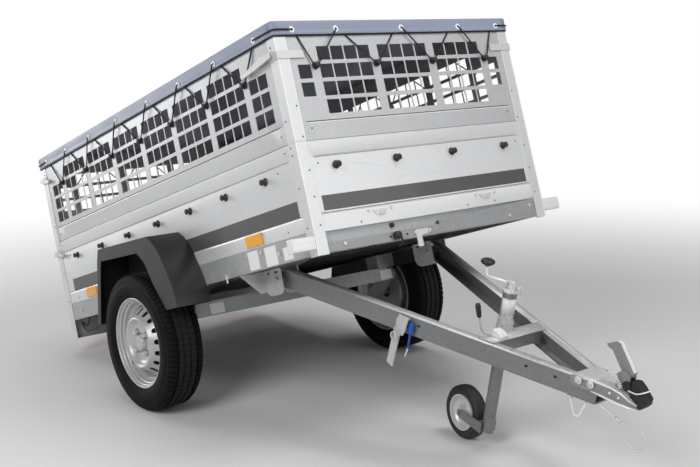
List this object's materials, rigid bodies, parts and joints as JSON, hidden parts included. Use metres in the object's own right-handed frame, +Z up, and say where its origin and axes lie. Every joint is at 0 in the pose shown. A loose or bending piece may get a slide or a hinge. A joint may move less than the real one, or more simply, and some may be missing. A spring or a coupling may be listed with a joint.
{
  "type": "utility trailer",
  "caption": "Single-axle tipping utility trailer with sheet-metal sides, mesh extensions, a laced flat tarp, black fenders, a V drawbar and a jockey wheel, tipped at rest.",
  "frame": {"origin": "middle of the footprint of the whole trailer, on the ground", "axes": "-Y towards the coupling and the direction of travel, +Z up, X across"},
  "size_m": [1.425, 3.0824, 1.4928],
  "materials": {
    "zinc": "satin",
    "cable_steel": "satin",
    "sheet": "satin",
    "rubber": "matte",
    "fender_plastic": "matte",
    "plywood": "satin",
    "white_lens": "gloss",
    "black_plastic": "matte",
    "key_blue": "gloss",
    "red_lens": "gloss",
    "amber_lens": "gloss",
    "rim": "satin",
    "tarp": "satin",
    "tyre": "matte"
  },
  "bodies": {
    "box": {"axle": "zinc", "chassis": "zinc", "corner_posts": "sheet", "end_beams": "zinc", "fender_left": "fender_plastic", "fender_right": "fender_plastic", "floor": "plywood", "front_lamps": "white_lens", "front_panel": "sheet", "latches": "zinc", "mesh_panel_front": "sheet", "mesh_panel_left": "sheet", "mesh_panel_rear": "sheet", "mesh_panel_right": "sheet", "pivot_brackets": "zinc", "plug": "black_plastic", "rear_lamps": "red_lens", "reflectors": "amber_lens", "rubber_hooks": "black_plastic", "side_panel_left": "sheet", "side_panel_right": "sheet", "tarp": "tarp", "tarp_hooks": "black_plastic"},
    "drawbar": {"breakaway_cable": "cable_steel", "coupling_bumper": "rubber", "coupling_head": "zinc", "coupling_lever": "zinc", "drawbar": "zinc", "jockey_clamp": "zinc", "jockey_crank": "zinc", "jockey_grips": "black_plastic", "jockey_outer": "zinc", "lock_keys": "key_blue", "tip_lock": "zinc", "wire_forms": "zinc"},
    "jockey_swivel": {"jockey_fork": "zinc"},
    "jockey_tube": {"jockey_inner": "zinc"},
    "jockey_wheel": {"jockey_rim": "zinc", "jockey_tyre": "rubber"},
    "wheel_left": {"rim_left": "rim", "tyre_left": "tyre"},
    "wheel_right": {"rim_right": "rim", "tyre_right": "tyre"},
    "tailboard": {"tailboard": "sheet"}
  },
  "joints": [
    {"name": "tip", "type": "hinge", "parent": "drawbar", "child": "box", "pos_m": [0, -0.20953, 0.56696], "axis": [1, 0, 0], "range_deg": [-4, 28.5]},
    {"name": "tailboard", "type": "hinge", "parent": "box", "child": "tailboard", "pos_m": [0, 1.35065, 0.23558], "axis": [-1, 0, 0], "range_deg": [0, 95]},
    {"name": "wheel_left_spin", "type": "hinge", "parent": "box", "child": "wheel_left", "pos_m": [-0.634, 0.3543, 0.2735], "axis": [1, 0, 0], "continuous": true},
    {"name": "wheel_right_spin", "type": "hinge", "parent": "box", "child": "wheel_right", "pos_m": [0.634, 0.3543, 0.2735], "axis": [1, 0, 0], "continuous": true},
    {"name": "jockey_slide", "type": "slide", "parent": "drawbar", "child": "jockey_tube", "axis": [0, 0.2118, -0.9773], "range_m": [-0.15, 0.06]},
    {"name": "jockey_swivel", "type": "hinge", "parent": "jockey_tube", "child": "jockey_swivel", "pos_m": [0, -0.86397, 0.05985], "axis": [0, 0.2118, -0.9773], "continuous": true},
    {"name": "jockey_spin", "type": "hinge", "parent": "jockey_swivel", "child": "jockey_wheel", "pos_m": [0.01754, -0.74457, 0.098], "axis": [0.9903, -0.136, -0.0295], "continuous": true}
  ]
}
